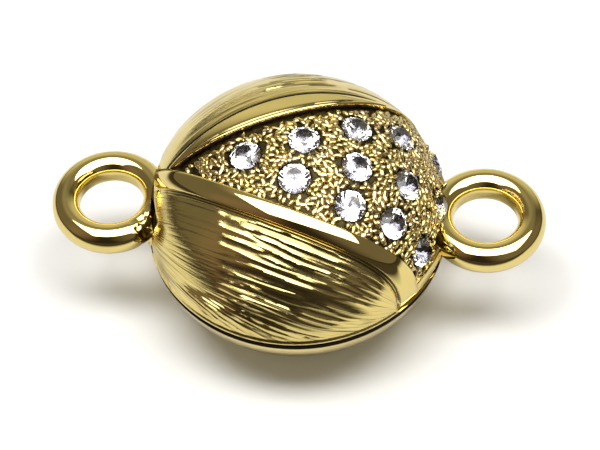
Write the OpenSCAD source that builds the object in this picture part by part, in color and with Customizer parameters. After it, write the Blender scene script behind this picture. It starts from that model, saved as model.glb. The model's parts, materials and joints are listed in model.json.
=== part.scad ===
// Ball-shaped magnetic clasp for a necklace or bracelet, cast in two halves that part along Z.
// The upper half is a dome with a sunk field of clear round stones, the lower half is a plain dish.
// Each half carries one ring. Two disc magnets and a round collar hold the closed halves together.
// Millimetres, +Z up. The origin is the middle of the flat that the clasp rests on, rings lie along X.

/* [Body] */
// Radius of the body at its waist, which is its widest level
body_r = 6.1; // [5.7:0.1:8]
// Height of the dome's top above the waist
dome_h = 4.8; // [4.2:0.05:5.6]
// Fullness of the dome's shoulder, where 2 is a plain ellipse and 3 is nearly a box
dome_fullness = 2; // [1.9:0.05:2.6]
// Depth of the dish below the waist, before its resting flat is cut
dish_h = 4.45; // [4.1:0.05:5.2]
// Fullness of the dish's shoulder, where 2 is a plain ellipse and 3 is nearly a box
dish_fullness = 2.3; // [2:0.05:2.6]
// Radius of the flat that the clasp rests on
base_r = 1.8; // [1.2:0.1:2.6]

/* [Seam] */
// Depth of the parting line below the waist
seam_below_waist = 0.65; // [0.5:0.05:0.8]
// Height of the open seam between the closed halves
seam_gap = 0.2; // [0.1:0.05:0.4]
// Radius of the collar on the lower half
collar_r = 4.3; // [4:0.1:4.6]
// Height of the collar above the lower half's face
collar_h = 0.8; // [0.6:0.1:1.2]
// Gap round the collar inside the upper half
collar_gap = 0.1; // [0.05:0.01:0.2]
// Gap between the collar's top and the upper half when closed
landing_gap = 0.05; // [0.03:0.01:0.1]

/* [Magnets] */
// Radius of both disc magnets
magnet_r = 3.2; // [2.6:0.1:3.6]
// Thickness of both disc magnets
magnet_t = 1.6; // [1:0.1:2]
// Gap round a magnet in its well, where the glue sits
glue_gap = 0.03; // [0.02:0.01:0.08]
// Depth of a magnet's face below the face that it is let into
magnet_sink = 0.04; // [0.02:0.01:0.1]

/* [Rings] */
// Distance from the middle of the body to the middle of a ring's hole
ring_reach = 7.55; // [7.5:0.05:9]
// Radius of the wire's middle line
ring_r = 1.84; // [1.7:0.02:2.2]
// Width of the wire, seen from above
wire_w = 1.14; // [0.9:0.02:1.2]
// Height of the wire, which is a little taller than it is wide
wire_h = 1.34; // [1.22:0.02:1.4]
// Radius of the round hole through a ring
hole_r = 1.3; // [1.28:0.01:1.4]

/* [Foot and notch] */
// Width of the foot that joins the left ring to the lower half
foot_w = 2.9; // [2:0.1:3.2]
// Height of the foot above the waist
foot_top = 0.35; // [0.2:0.05:0.5]
// Depth to which the foot runs down the dish below the waist
foot_drop = 1.5; // [1.2:0.1:2]
// How far the foot stands out from the body
foot_proud = 0.12; // [0.05:0.01:0.2]
// Depth to which the foot is let into the body's side
foot_let_in = 0.22; // [0.16:0.02:0.3]
// Gap between the foot or ring and the notch in the upper half
notch_gap = 0.15; // [0.1:0.01:0.25]

/* [Relief] */
// Depth of the sunk stone field below the polished bands
field_depth = 0.25; // [0.15:0.01:0.35]
// Depth of the brushed surface below the polished bands
brushed_depth = 0.07; // [0.04:0.01:0.12]
// Width of the polished band in front of the stone field
front_band_w = 0.68; // [0.4:0.02:1]
// Extra width of the polished band behind the stone field
back_band_extra = 0; // [-0.3:0.05:0.3]
// Height of the stone field's lower rim above the waist
field_rim = 0.2; // [0.1:0.05:0.5]
// Where the stone field's narrow end starts, as a share of body_r
field_start = 0.83; // [0.78:0.01:0.86]

/* [Stones] */
// Diameter of a stone at its girdle
stone_d = 1.24; // [1:0.02:1.3]
// Thickness of a stone's girdle
girdle_t = 0.05; // [0.03:0.01:0.08]
// Gap between a stone and its seat
seat_gap = 0.03; // [0.02:0.005:0.04]
// Radius of the grains that hold a stone
grain_r = 0.13; // [0.1:0.01:0.15]
// Grains round each stone
grains_per_stone = 4; // [3:1:5]

/* [Hidden] */
$fn = 96;
gold = "#c9a44a";
nickel = "#8d8f93";
clear = "#e8eef5";

// Places seen from above: X and Y as shares of body_r.
// Three points on the front edge and three on the back edge of the stone field
FRONT_EDGE = [[-0.83, -0.037], [0, -0.481], [0.755, -0.569]];
BACK_EDGE = [[-0.8, -0.054], [0, 0.237], [0.755, 0.609]];
// Three points on the outer edge of the polished band behind the field
BAND_EDGE = [[-0.8, -0.026], [0, 0.401], [0.5, 0.503]];
// The middle of each stone, column by column from the narrow end of the field
STONES = [
    [-0.304, -0.104],
    [0.062, 0.015], [0.025, -0.276],
    [0.386, 0.18], [0.411, -0.125], [0.384, -0.393],
    [0.668, 0.265], [0.73, -0.106], [0.659, -0.393],
    [0.882, 0.314], [0.936, -0.017], [0.845, -0.402]
];

// Heights above the resting flat
waist_z = full_height(base_r, body_r, dish_h, dish_fullness);
seam_z = waist_z - seam_below_waist;
lower_face_z = seam_z - seam_gap;
collar_top_z = lower_face_z + collar_h;
upper_roof_z = collar_top_z + landing_gap;
// Radius of the foot's inner face, which the upper half passes
foot_inner_r = body_r - foot_let_in;

// A stone's proportions are those of a common round brilliant, as shares of its diameter.
stone_r = stone_d / 2;
table_r = 0.57 * stone_r;
crown_mid_r = 0.8 * stone_r;
crown_h = 0.16 * stone_d;
crown_mid_h = 0.1 * stone_d;
pavilion_mid_r = 0.45 * stone_r;
pavilion_h = 0.43 * stone_d;
pavilion_mid_h = 0.24 * stone_d;
cuts = 8;
// A grain stands with its middle this share of its radius above the field, the first one at this angle
grain_lift = 0.3;
grain_turn = 45;
grain_sides = 24;

front_arc = arc_through(FRONT_EDGE * body_r);
back_arc = arc_through(BACK_EDGE * body_r);
band_arc = arc_through(BAND_EDGE * body_r);
far = 3 * body_r;
outline_steps = 16;

// Height of a full round form at a distance r from its axis
function full_height(r, width, height, fullness) =
    height * pow(1 - pow(r / width, fullness), 1 / fullness);

// Height of the dome above the waist at a distance r from its axis, sunk by inset
function dome_height(r, inset) = full_height(r, body_r - inset, dome_h - inset, dome_fullness);

// Tilt of the dome's outward direction from +Z at a distance r from its axis
function dome_tilt(r, inset) =
    let (share = r / (body_r - inset), n = dome_fullness)
    atan((dome_h - inset) / (body_r - inset) * pow(share, n - 1) * pow(1 - pow(share, n), 1 / n - 1));

// Centre and radius of the circle through three points, as [x, y, radius]
function arc_through(p) =
    let (
        a = p[1] - p[0],
        b = p[2] - p[0],
        d = 2 * (a.x * b.y - a.y * b.x),
        x = (b.y * (a * a) - a.y * (b * b)) / d,
        y = (a.x * (b * b) - b.x * (a * a)) / d
    )
    [p[0].x + x, p[0].y + y, norm([x, y])];

// Half outline of a full round form above the waist
module half_outline(width, height, fullness) {
    polygon(concat(
        [[0, 0]],
        [
            for (k = [0:outline_steps])
                let (t = 90 * k / outline_steps)
                [width * pow(cos(t), 2 / fullness), height * pow(sin(t), 2 / fullness)]
        ]
    ));
}

// The whole body of revolution, dome and dish, with its size cut by inset all round
module body_form(inset = 0) {
    translate([0, 0, waist_z]) {
        rotate_extrude() half_outline(body_r - inset, dome_h - inset, dome_fullness);
        mirror([0, 0, 1]) rotate_extrude() half_outline(body_r - inset, dish_h - inset, dish_fullness);
    }
}

// A thick slab between two heights, to cut bodies with
module slab(low, high) {
    translate([-far, -far, low]) cube([2 * far, 2 * far, high - low]);
}

// Everything on the concave side of an edge arc, which is moved outwards by shift
module edge_post(arc, shift, low) {
    translate([arc.x, arc.y, low]) cylinder(r = arc[2] + shift, h = far);
}

// The space over the stone field between its two edge arcs, widened by grow
module field_prism(grow = 0) {
    low = waist_z + field_rim;
    difference() {
        intersection() {
            edge_post(front_arc, grow, low);
            translate([-body_r * field_start, -far, low]) cube([far, 2 * far, far]);
        }
        edge_post(back_arc, -grow, waist_z);
    }
}

// The space over the field and its two polished bands
module band_prism() {
    intersection() {
        edge_post(front_arc, front_band_w, 0);
        edge_post(band_arc, back_band_extra, 0);
    }
}

// The ring with its wire lying at the waist and its hole along Z
module ring(side) {
    straight = wire_h - wire_w;
    translate([side * ring_reach, 0, waist_z])
        difference() {
            rotate_extrude()
                translate([ring_r, 0]) {
                    for (end = [-1, 1]) translate([0, end * straight / 2]) circle(wire_w / 2);
                    square([wire_w, straight], center = true);
                }
            cylinder(r = hole_r, h = 2 * wire_h, center = true);
        }
}

// Moves a shape onto the floor of the stone field at a stone's place, square to the floor
module on_field(place) {
    spot = place * body_r;
    r = norm(spot);
    translate([spot.x, spot.y, waist_z + dome_height(r, field_depth)])
        rotate([0, dome_tilt(r, field_depth), atan2(spot.y, spot.x)])
            children();
}

// Hole that a stone drops into: a round land for the girdle over a cone for the pavilion
module seat() {
    r = stone_r + seat_gap;
    land_z = -girdle_t / 2 - seat_gap;
    cone_h = pavilion_h + seat_gap;
    translate([0, 0, land_z]) cylinder(r = r, h = crown_h + girdle_t + field_depth);
    translate([0, 0, land_z - cone_h]) cylinder(r1 = seat_gap, r2 = r, h = cone_h);
}

// The raised grains that hold one stone
module grains() {
    for (k = [0:grains_per_stone - 1])
        rotate(grain_turn + 360 * k / grains_per_stone)
            translate([stone_r + seat_gap + grain_r, 0, grain_lift * grain_r])
                sphere(grain_r, $fn = grain_sides);
}

// The dome's outside: a core at the field's floor, the brushed surface and the polished bands
module dome_relief() {
    body_form(field_depth);
    difference() {
        union() {
            difference() {
                body_form(brushed_depth);
                field_prism(front_band_w / 2);
            }
            intersection() {
                body_form();
                band_prism();
            }
        }
        field_prism();
    }
}

// Dome, its relief and grains, its ring, the notch for the foot and the recesses in its face
module upper_half() {
    color(gold)
    difference() {
        union() {
            intersection() {
                union() {
                    dome_relief();
                    ring(1);
                }
                slab(seam_z, far);
            }
            for (place = STONES) on_field(place) grains();
        }
        for (place = STONES) on_field(place) seat();
        notch();
        translate([0, 0, seam_z - seam_gap])
            cylinder(r = collar_r + collar_gap, h = upper_roof_z - seam_z + seam_gap);
        cylinder(r = magnet_r + glue_gap, h = upper_roof_z + magnet_sink + magnet_t + glue_gap);
    }
}

// Space in the upper half for the foot and the left ring
module notch() {
    half_w = sqrt(pow(ring_r + wire_w / 2, 2) - pow(ring_reach - body_r, 2));
    difference() {
        translate([-far, -half_w - notch_gap, 0])
            cube([far, 2 * (half_w + notch_gap), waist_z + wire_h / 2 + notch_gap]);
        cylinder(r = foot_inner_r - notch_gap, h = far);
    }
}

// Dish, the collar, the foot with the left ring and the magnet's well
module lower_half() {
    color(gold)
    difference() {
        union() {
            intersection() {
                body_form();
                slab(0, lower_face_z);
            }
            translate([0, 0, lower_face_z - collar_h]) cylinder(r = collar_r, h = 2 * collar_h);
            difference() {
                union() {
                    ring(-1);
                    foot();
                }
                translate([0, 0, lower_face_z]) cylinder(r = foot_inner_r, h = far);
            }
        }
        translate([0, 0, collar_top_z - magnet_sink - magnet_t - glue_gap])
            cylinder(r = magnet_r + glue_gap, h = far);
    }
}

// Pad that follows the body's side and carries the left ring
module foot() {
    intersection() {
        body_form(-foot_proud);
        translate([-far, -foot_w / 2, waist_z - foot_drop]) cube([far, foot_w, foot_drop + foot_top]);
    }
}

module magnet(low) {
    color(nickel) translate([0, 0, low]) cylinder(r = magnet_r, h = magnet_t);
}

module lower_magnet() {
    magnet(collar_top_z - magnet_sink - magnet_t);
}

module upper_magnet() {
    magnet(upper_roof_z + magnet_sink);
}

// One ring of corner points of a stone
function stone_ring(r, z, n, turn) =
    [for (k = [0:n - 1]) let (a = (k + turn) * 360 / n) [r * cos(a), r * sin(a), z]];

// A round brilliant: table, stars, kites and halves above the girdle, mains and halves below it
module stone(place) {
    n = cuts;
    points = concat(
        stone_ring(table_r, girdle_t / 2 + crown_h, n, 0),
        stone_ring(crown_mid_r, girdle_t / 2 + crown_mid_h, n, 0.5),
        stone_ring(stone_r, girdle_t / 2, 2 * n, 0),
        stone_ring(stone_r, -girdle_t / 2, 2 * n, 0),
        stone_ring(pavilion_mid_r, -girdle_t / 2 - pavilion_mid_h, n, 0.5),
        [[0, 0, -girdle_t / 2 - pavilion_h]]
    );
    table = 0;
    mid = n;
    top = 2 * n;
    low = 4 * n;
    pav = 6 * n;
    culet = 7 * n;
    faces = concat(
        [[for (k = [n - 1:-1:0]) table + k]],
        [for (k = [0:n - 1]) [table + k, table + (k + 1) % n, mid + k]],
        [for (k = [0:n - 1]) [table + (k + 1) % n, top + (2 * k + 2) % (2 * n), mid + k]],
        [for (k = [0:n - 1]) [table + (k + 1) % n, mid + (k + 1) % n, top + (2 * k + 2) % (2 * n)]],
        [for (k = [0:n - 1]) [mid + k, top + 2 * k + 1, top + 2 * k]],
        [for (k = [0:n - 1]) [mid + k, top + (2 * k + 2) % (2 * n), top + 2 * k + 1]],
        [for (k = [0:2 * n - 1]) [top + k, top + (k + 1) % (2 * n), low + (k + 1) % (2 * n), low + k]],
        [for (k = [0:n - 1]) [low + 2 * k, low + 2 * k + 1, pav + k]],
        [for (k = [0:n - 1]) [low + 2 * k + 1, low + (2 * k + 2) % (2 * n), pav + k]],
        [for (k = [0:n - 1]) [pav + k, low + (2 * k + 2) % (2 * n), culet]],
        [for (k = [0:n - 1]) [low + (2 * k + 2) % (2 * n), pav + (k + 1) % n, culet]]
    );
    color(clear) on_field(place) polyhedron(points, faces);
}

lower_half();
lower_magnet();
upper_half();
upper_magnet();
for (i = [0:len(STONES) - 1])
    stone(STONES[i]);
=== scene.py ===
"""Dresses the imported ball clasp: castings with relief, pave field, stones, magnets, studio and camera."""

import json
import math

import bmesh
import bpy
import numpy as np
from bpy.props import FloatProperty, FloatVectorProperty, IntProperty, PointerProperty
from bpy.types import NodeSocket, Operator, Panel, PropertyGroup
from mathutils import Matrix, Vector


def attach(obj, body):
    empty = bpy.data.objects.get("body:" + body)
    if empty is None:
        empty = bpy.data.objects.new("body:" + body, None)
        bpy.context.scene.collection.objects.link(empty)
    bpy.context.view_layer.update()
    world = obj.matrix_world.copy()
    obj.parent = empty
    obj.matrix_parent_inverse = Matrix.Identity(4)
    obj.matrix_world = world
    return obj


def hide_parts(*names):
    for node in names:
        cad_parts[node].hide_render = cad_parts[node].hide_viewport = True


bl_info = {
    "name": "Ball Clasp Looks",
    "version": (1, 0, 0),
    "blender": (4, 5, 0),
    "location": "3D View > Sidebar > Clasp",
    "description": "Builds the polished, brushed and pave-set looks of a ball-shaped magnetic clasp",
    "category": "Object",
}

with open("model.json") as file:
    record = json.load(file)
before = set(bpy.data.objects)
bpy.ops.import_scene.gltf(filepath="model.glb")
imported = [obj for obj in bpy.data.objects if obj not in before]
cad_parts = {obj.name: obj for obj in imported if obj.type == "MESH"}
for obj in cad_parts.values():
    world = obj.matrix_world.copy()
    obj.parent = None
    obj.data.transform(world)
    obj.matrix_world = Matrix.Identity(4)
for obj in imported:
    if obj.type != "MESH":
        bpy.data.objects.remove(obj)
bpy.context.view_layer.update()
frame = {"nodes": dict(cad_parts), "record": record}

MM = 0.001
MOUNTS = {mount["name"]: mount for mount in frame["record"]["mounts"]}
RING_CENTRE = MOUNTS["right_ring"]["pos_m"]
HOLE_RADIUS = MOUNTS["right_ring"]["dims"]["r_mm"] * MM
STONES = sorted(name for name in frame["nodes"] if name.startswith("stone_"))

# Numbers of the making: halvings of a search, and lengths that count as nothing
HALVINGS = 40
TINY, SAME_PLACE, NEAR = 1e-9, 1e-8, 1e-6

# Places seen from above, as shares of the body's radius: three points on each line of the dome's pattern
FRONT_EDGE = ((-0.83, -0.037), (0.0, -0.481), (0.755, -0.569))
BACK_EDGE = ((-0.8, -0.054), (0.0, 0.237), (0.755, 0.609))
BAND_EDGE = ((-0.8, -0.026), (0.0, 0.401), (0.5, 0.503))


def length(name, description, millimetres):
    """A size that a user may change, kept in metres."""
    return FloatProperty(
        name=name,
        description=description,
        default=millimetres * MM,
        min=0.0,
        precision=5,
        subtype="DISTANCE",
        unit="LENGTH",
    )


def plain(name, description, default, least=0.0):
    """A plain number that a user may change."""
    return FloatProperty(name=name, description=description, default=default, min=least)


def colour(name, description, default):
    """A linear colour that a user may change."""
    return FloatVectorProperty(
        name=name, description=description, default=default, size=3, min=0.0, max=1.0, subtype="COLOR"
    )


class ClaspSizes(PropertyGroup):
    """Sizes of the clasp's two castings and of their relief."""

    body_radius: length("Body radius", "Radius of the body at its widest level", 6.1)
    dome_height: length("Dome height", "Height of the dome above the widest level", 4.8)
    dish_height: length("Dish height", "Depth of the dish below the widest level", 4.45)
    dome_fullness: plain("Dome fullness", "2 is a plain ellipse", 2.0, 1.5)
    dish_fullness: plain("Dish fullness", "2 is a plain ellipse", 2.3, 1.5)
    base_radius: length("Base radius", "Radius of the flat that the clasp rests on", 1.8)
    seam_drop: length("Seam drop", "Depth of the parting line below the widest level", 0.65)
    seam_gap: length("Seam gap", "Open height of the parting line", 0.2)
    seam_round: length("Seam rounding", "Rounding of the two edges at the parting line", 0.07)
    collar_radius: length("Collar radius", "Radius of the collar that centres the halves", 4.3)
    collar_height: length("Collar height", "Height of the collar above the lower face", 0.8)
    collar_gap: length("Collar gap", "Gap round the collar", 0.1)
    landing_gap: length("Landing gap", "Gap over the collar when closed", 0.05)
    magnet_radius: length("Magnet radius", "Radius of both magnets", 3.2)
    magnet_height: length("Magnet thickness", "Thickness of both magnets", 1.6)
    glue_gap: length("Glue gap", "Gap round a magnet", 0.03)
    magnet_sink: length("Magnet sink", "Depth of a magnet's face in its well", 0.04)
    wire_width: length("Ring wire width", "Width of the ring's wire from above", 1.14)
    wire_height: length("Ring wire height", "Height of the ring's wire", 1.34)
    wire_fullness: plain("Ring wire fullness", "2 is a plain oval section", 2.0, 1.5)
    ring_radius: length("Ring radius", "Radius of the wire's middle line", 1.84)
    foot_width: length("Foot width", "Width of the left ring's foot", 2.9)
    foot_top: length("Foot top", "Height of the foot above the widest level", 0.35)
    foot_drop: length("Foot drop", "Depth of the foot below the widest level", 1.5)
    foot_proud: length("Foot stand-out", "How far the foot stands out from the body", 0.12)
    foot_let_in: length("Foot let-in", "Depth to which the foot is let into the body", 0.22)
    notch_gap: length("Notch gap", "Gap beside the foot in the upper casting", 0.15)
    notch_depth: length("Notch depth", "Gap behind the foot in the upper casting", 0.22)
    field_depth: length("Field depth", "Depth of the sunk stone field", 0.25)
    brushed_depth: length("Brushed depth", "Depth of the brushed surface below the bands", 0.07)
    front_band: length("Front band width", "Width of the polished band in front of the field", 0.68)
    fan_share: plain("Fan share", "How far the strokes fan out instead of following the band", 0.5)
    rim_slant: plain("Rim slant", "How steeply the strokes run down into the seam", 0.45)
    front_crown: length("Front band crown", "Rise of the front band's middle over its edges", 0.12)
    field_rim: length("Field rim", "Height of the field's lower rim above the widest level", 0.2)
    seat_gap: length("Seat gap", "Gap between a stone and its seat", 0.03)
    claw_radius: length("Claw radius", "Radius of the grains that hold a stone", 0.13)
    nugget_spacing: length("Nugget spacing", "Least distance between nuggets of the field", 0.19)
    nugget_radius: length("Nugget radius", "Middle radius of the field's nuggets", 0.15)
    claws_per_stone: IntProperty(name="Claws per stone", description="Grains at a stone", default=4, min=3)


class ClaspFinish(PropertyGroup):
    """Colours of the clasp and its studio."""

    gold: colour("Gold", "Polished pale gold plate", (0.88, 0.71, 0.26))
    field_gold: colour("Field gold", "Deeper gold among the nuggets", (0.76, 0.585, 0.28))
    # Dull as-cast gold, darkened further as painted shade in the seam and the notch
    joint_gold_and_shade: colour("Joint gold", "Dull gold of the faces that meet at the seam", (0.42, 0.30, 0.13))
    nickel: colour("Nickel", "Plating of the magnets", (0.62, 0.61, 0.58))
    foil: colour("Foil", "Silver foil behind the stones", (0.20, 0.19, 0.225))
    crystal: colour("Crystal", "Clear stones", (0.97, 0.98, 1.0))
    floor: colour("Floor", "Plain pale floor", (0.88, 0.88, 0.87))


class BodyForm:
    """The body's outline and heights in metres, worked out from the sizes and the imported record."""

    def __init__(self, sizes):
        self.sizes = sizes
        self.waist = RING_CENTRE[2]
        self.seam = self.waist - sizes.seam_drop
        self.lower_face = self.seam - sizes.seam_gap
        self.collar_top = self.lower_face + sizes.collar_height
        self.roof = self.collar_top + sizes.landing_gap
        self.foot_inner = sizes.body_radius - sizes.foot_let_in
        self.ring_reach = RING_CENTRE[0]
        self.middle = np.array([0.0, 0.0, self.seam + sizes.seam_round])

    def half(self, points):
        """Rise of points above the widest level, with the height and fullness of their half of the body."""
        s = self.sizes
        rise = points[..., 2] - self.waist
        above = rise >= 0
        height = np.where(above, s.dome_height, s.dish_height)
        return rise, height, np.where(above, s.dome_fullness, s.dish_fullness)

    def surface(self, origin, directions):
        """Where rays from an inner point leave the body, found by halving."""
        near = np.zeros(directions.shape[:-1])
        far = np.full(directions.shape[:-1], 2.0 * self.sizes.body_radius)
        for _ in range(HALVINGS):
            middle = (near + far) / 2
            points = origin + directions * middle[..., None]
            rise, height, power = self.half(points)
            out = from_axis(points) / self.sizes.body_radius
            inside = out**power + (np.abs(rise) / height) ** power - 1.0 < 0
            near = np.where(inside, middle, near)
            far = np.where(inside, far, middle)
        return origin + directions * near[..., None]

    def outward(self, points):
        """Unit normals of the body at points near its surface."""
        rise, height, power = self.half(points)
        out = np.maximum(from_axis(points), TINY)
        side = out ** (power - 1) / self.sizes.body_radius**power
        up = np.sign(rise) * np.abs(rise) ** (power - 1) / height**power
        return unit(np.stack([points[..., 0] / out * side, points[..., 1] / out * side, up], -1))

    def radius_at(self, z, grow):
        """The radius at a height of a body that is larger by a margin."""
        s = self.sizes
        rise = z - self.waist
        height, power = (s.dome_height, s.dome_fullness) if rise >= 0 else (s.dish_height, s.dish_fullness)
        return (s.body_radius + grow) * max(0.0, 1 - (abs(rise) / (height + grow)) ** power) ** (1 / power)


def from_axis(points):
    """Distance of points from the clasp's upright axis."""
    return np.hypot(points[..., 0], points[..., 1])


def unit(vectors):
    """Vectors brought to length 1."""
    return vectors / np.linalg.norm(vectors, axis=-1, keepdims=True)


def smooth_step(x, low, high):
    """0 below low, 1 above high, smooth between."""
    t = np.clip((x - low) / (high - low), 0, 1)
    return t * t * (3 - 2 * t)


def eased(x, low, high):
    """A smooth step of a length between two limits in millimetres."""
    return smooth_step(x, low * MM, high * MM)


def mm(*values):
    """Millimetres as metres."""
    return tuple(value * MM for value in values)


def arc_through(points, radius):
    """Centre and radius of the circle through three places given as shares of the body's radius."""
    a, b, c = (np.array(p) * radius for p in points)
    across = 2 * ((b[0] - a[0]) * (c[1] - a[1]) - (b[1] - a[1]) * (c[0] - a[0]))
    ab, ac = (b - a) @ (b - a), (c - a) @ (c - a)
    x = ((c[1] - a[1]) * ab - (b[1] - a[1]) * ac) / across
    y = ((b[0] - a[0]) * ac - (c[0] - a[0]) * ab) / across
    return a[0] + x, a[1] + y, math.hypot(x, y)


def stone_places():
    """Each stone's girdle centre, outward axis and radius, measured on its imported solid."""
    places = []
    for name in STONES:
        points = np.unique(np.round([v.co for v in frame["nodes"][name].data.vertices], 8), axis=0)
        centre = points.mean(0)
        axis = np.linalg.svd(points - centre)[2][2]
        if axis @ (centre - np.array([0, 0, RING_CENTRE[2]])) < 0:
            axis = -axis
        away = points - centre
        radius = np.linalg.norm(away - np.outer(away @ axis, axis), axis=1).max()
        places.append((centre, axis, radius))
    return places


def place_object(name, data):
    """An object at the origin, linked into the scene."""
    obj = bpy.data.objects.new(name, data)
    bpy.context.scene.collection.objects.link(obj)
    return obj


def plain_mesh(name, points, faces):
    """A mesh of points and faces."""
    mesh = bpy.data.meshes.new(name)
    mesh.from_pydata([tuple(p) for p in points], [], faces)
    return mesh


def store(mesh, name, kind, values):
    """Stores a number or a vector on each point of a mesh."""
    data = mesh.attributes.new(name, kind, "POINT").data
    data.foreach_set("vector" if kind == "FLOAT_VECTOR" else "value", np.asarray(values, np.float32).ravel())


def mesh_object(name, points, faces, materials, face_slots=None, uvs=None, sharp=35.0, recess=None):
    """A smooth-shaded mesh object at the origin, with doubles merged and sharp edges kept."""
    mesh = plain_mesh(name, points, faces)
    for material in materials:
        mesh.materials.append(material)
    if face_slots is not None:
        mesh.polygons.foreach_set("material_index", np.asarray(face_slots, np.int32))
    if uvs is not None:
        layer = mesh.uv_layers.new(name="along")
        corners = np.zeros(len(mesh.loops), np.int32)
        mesh.loops.foreach_get("vertex_index", corners)
        layer.uv.foreach_set("vector", np.asarray(uvs, np.float32)[corners].ravel())
    if recess is not None:
        store(mesh, "recess", "FLOAT", recess)
    mesh.validate()
    obj = place_object(name, mesh)
    clean(obj, sharp)
    return obj


def clean(obj, sharp):
    """Merges doubles, drops faces without area and sets smooth shading with sharp edges."""
    work = bmesh.new()
    work.from_mesh(obj.data)
    bmesh.ops.remove_doubles(work, verts=work.verts, dist=SAME_PLACE)
    bmesh.ops.dissolve_degenerate(work, edges=work.edges, dist=SAME_PLACE)
    for face in work.faces:
        face.smooth = True
    work.to_mesh(obj.data)
    work.free()
    obj.data.set_sharp_from_angle(angle=math.radians(sharp))


def grid_faces(rows, columns, wrap=False, start=0, flip=False):
    """Quads of a grid of points stored row by row."""
    faces = []
    for i in range(rows - 1):
        for j in range(columns if wrap else columns - 1):
            a, b = start + i * columns + j, start + i * columns + (j + 1) % columns
            quad = (a, b, b + columns, a + columns)
            faces.append(quad[::-1] if flip else quad)
    return faces


def join(name, parts):
    """Joins mesh objects into the first one."""
    with bpy.context.temp_override(
        active_object=parts[0], selected_objects=parts, selected_editable_objects=parts
    ):
        bpy.ops.object.join()
    parts[0].name = name
    return parts[0]


# Node trees and materials

HAIRLINE_SCALE, STREAK_SCALE = (900.0, 16000.0, 1.0), (330.0, 9500.0, 1.0)
WEAR_BUMP, HAIRLINE_BUMP = mm(0.01, 0.012)
TONE_SPAN, SPECK_SPAN, STREAK_SPAN = (0.38, 0.66), (0.4, 0.75), (0.56, 0.67)
SPECK_SCALE, DULL_RECESS, STREAK_SHADE = 4200.0, 0.35, 0.75


def feed(node, inputs):
    """Links each input of a node, named or numbered, to a socket, or gives it a plain value."""
    for key, value in inputs.items():
        if isinstance(value, NodeSocket):
            node.id_data.links.new(value, node.inputs[key])
        else:
            node.inputs[key].default_value = value


def add_node(tree, kind, inputs=None, **properties):
    """A node with its properties set and its inputs fed."""
    node = tree.nodes.new(kind)
    for key, value in properties.items():
        setattr(node, key, value)
    feed(node, inputs or {})
    return node


def calculate(tree, operation, *values):
    """The result of a Math node."""
    return add_node(tree, "ShaderNodeMath", dict(enumerate(values)), operation=operation).outputs["Value"]


def remap(tree, value, low, high, start=0.0, stop=1.0, kind="LINEAR"):
    """A value that runs from start to stop while another goes from low to high."""
    inputs = {"Value": value, "From Min": low, "From Max": high, "To Min": start, "To Max": stop}
    return add_node(tree, "ShaderNodeMapRange", inputs, interpolation_type=kind).outputs["Result"]


def mixed(tree, share, first, second):
    """Two colours mixed by a share."""
    inputs = {"Factor": share, "A": first, "B": second}
    return add_node(tree, "ShaderNodeMix", inputs, data_type="RGBA").outputs["Result"]


def noise(tree, place, scale, detail, roughness=0.5):
    """The outputs of a noise texture."""
    inputs = {"Vector": place, "Scale": scale, "Detail": detail, "Roughness": roughness}
    return add_node(tree, "ShaderNodeTexNoise", inputs).outputs


def bump(tree, height, strength, depth, normal=None):
    """The normal of a bump of a given depth, on top of another normal if there is one."""
    inputs = {"Height": height, "Strength": strength, "Distance": depth}
    inputs.update({"Normal": normal} if normal else {})
    return add_node(tree, "ShaderNodeBump", inputs).outputs["Normal"]


def new_tree(name, kind, inputs, outputs):
    """A node tree with named sockets: the tree, what goes into it and the node of its results."""
    tree = bpy.data.node_groups.new(name, kind)
    for side, sockets in (("INPUT", inputs), ("OUTPUT", outputs)):
        for label, sort, *default in sockets:
            socket = tree.interface.new_socket(label, in_out=side, socket_type="NodeSocket" + sort)
            if default:
                socket.default_value = default[0]
    return tree, tree.nodes.new("NodeGroupInput").outputs, tree.nodes.new("NodeGroupOutput")


def new_material(name, values):
    """A node material with plain values on its shader: the material, its tree and its shader."""
    material = bpy.data.materials.new(name)
    material.use_nodes = True
    shader = material.node_tree.nodes["Principled BSDF"]
    feed(shader, values)
    return material, material.node_tree, shader


def plate_wear_and_shade_group():
    """Shared look of handled gold plate: slow tone changes and fine specks as wear, and painted shade that
    darkens and dulls the recesses.
    """
    name = "Plate wear"
    if name in bpy.data.node_groups:
        return bpy.data.node_groups[name]
    inputs = (
        ("Base", "Color", (0.8, 0.6, 0.3, 1)),
        ("Deep", "Color", (0.6, 0.4, 0.15, 1)),
        ("Recess Color", "Color", (0.012, 0.008, 0.003, 1)),
        ("Recess", "Float", 0.0),
        ("Tone Scale", "Float", 300.0),
        ("Least Roughness", "Float", 0.08),
        ("Most Roughness", "Float", 0.2),
    )
    outputs = ("Color", "Color"), ("Roughness", "Float"), ("Height", "Float")
    tree, given, results = new_tree(name, "ShaderNodeTree", inputs, outputs)
    place = add_node(tree, "ShaderNodeTexCoord").outputs["Object"]
    tone = remap(tree, noise(tree, place, given["Tone Scale"], 4.0, 0.6)["Fac"], *TONE_SPAN)
    plate = mixed(tree, tone, given["Base"], given["Deep"])
    specks = noise(tree, place, SPECK_SCALE, 3.0)["Fac"]
    polish = remap(tree, specks, *SPECK_SPAN, given["Least Roughness"], given["Most Roughness"])
    looks = {
        # Painted shade: the plate is mixed towards a near-black colour by the share of recess
        "Color": mixed(tree, given["Recess"], plate, given["Recess Color"]),
        "Roughness": calculate(tree, "MULTIPLY_ADD", given["Recess"], DULL_RECESS, polish),
        "Height": specks,
    }
    feed(results, looks)
    return tree


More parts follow.
